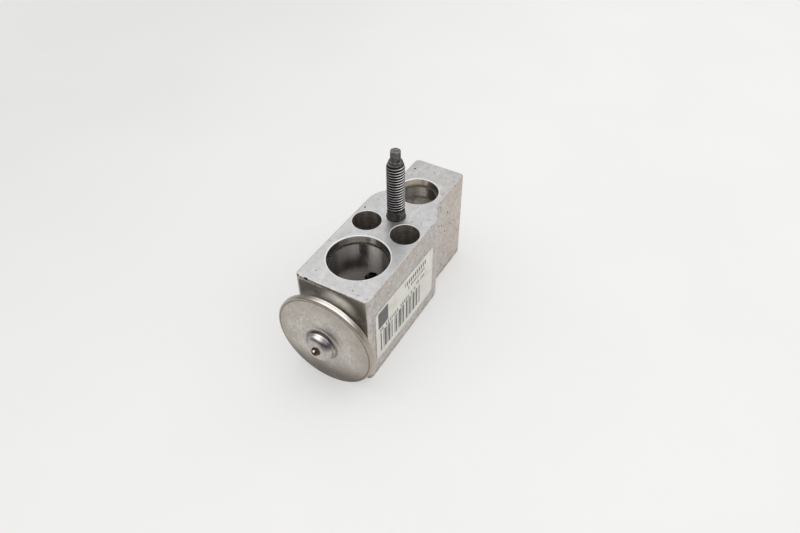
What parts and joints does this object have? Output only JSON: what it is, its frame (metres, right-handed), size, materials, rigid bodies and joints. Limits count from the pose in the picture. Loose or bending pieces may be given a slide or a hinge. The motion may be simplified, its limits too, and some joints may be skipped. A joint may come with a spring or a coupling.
{
  "type": "thermostatic expansion valve",
  "caption": "Block-type expansion valve for a vehicle's air conditioning, with a temperature capsule on one end, refrigerant ports, a threaded stud and a label.",
  "frame": {"origin": "under the centre of the bounding box, on the evaporator-side face that the valve rests on", "axes": "+Y along the valve's axis, from the capsule to the adjusting screw; +Z out of the line-side face, along the stud; +X out of the side with the label"},
  "size_m": [0.0348, 0.0812, 0.0618],
  "materials": {
    "machined_aluminium": "satin",
    "phosphated_steel": "dark phosphate",
    "stainless_steel": "satin",
    "turned_brass": "machined",
    "seal_rubber": "matt",
    "label_paper": "matt"
  },
  "bodies": {
    "housing": {"valve_body": "machined_aluminium", "mounting_stud": "phosphated_steel", "capsule_cap": "stainless_steel", "charge_plug_ball": "stainless_steel", "diaphragm": "stainless_steel", "capsule_base": "stainless_steel", "capsule_o_ring": "seal_rubber", "pin_o_ring": "seal_rubber", "seal_retainer": "stainless_steel", "orifice_ring": "stainless_steel", "superheat_spring": "stainless_steel", "label": "label_paper"},
    "valve_train": {"diaphragm_pad": "stainless_steel", "sensing_rod": "stainless_steel", "push_pin": "stainless_steel", "valve_ball": "stainless_steel", "ball_carrier": "turned_brass", "damper_spring": "stainless_steel"},
    "screw_carriage": {"adjuster_o_ring": "seal_rubber"},
    "screw": {"adjusting_screw": "turned_brass"}
  },
  "joints": [
    {"name": "valve_lift", "type": "slide", "parent": "housing", "child": "valve_train", "axis": [0, 1, 0], "range_m": [0, 0.0007], "stiffness_N_per_m": 12000, "deforming": ["superheat_spring", "diaphragm"]},
    {"name": "adjuster_travel", "type": "slide", "parent": "housing", "child": "screw_carriage", "axis": [0, -1, 0], "range_m": [-0.0005, 0.001], "deforming": ["superheat_spring"]},
    {"name": "adjuster_turn", "type": "hinge", "parent": "screw_carriage", "child": "screw", "pos_m": [0, 0.036, 0.01745], "axis": [0, -1, 0], "range_deg": [-180, 360]}
  ],
  "couplings": [
    {"joint": "adjuster_turn", "follows": "adjuster_travel", "rad_per_m": 6283.2}
  ]
}
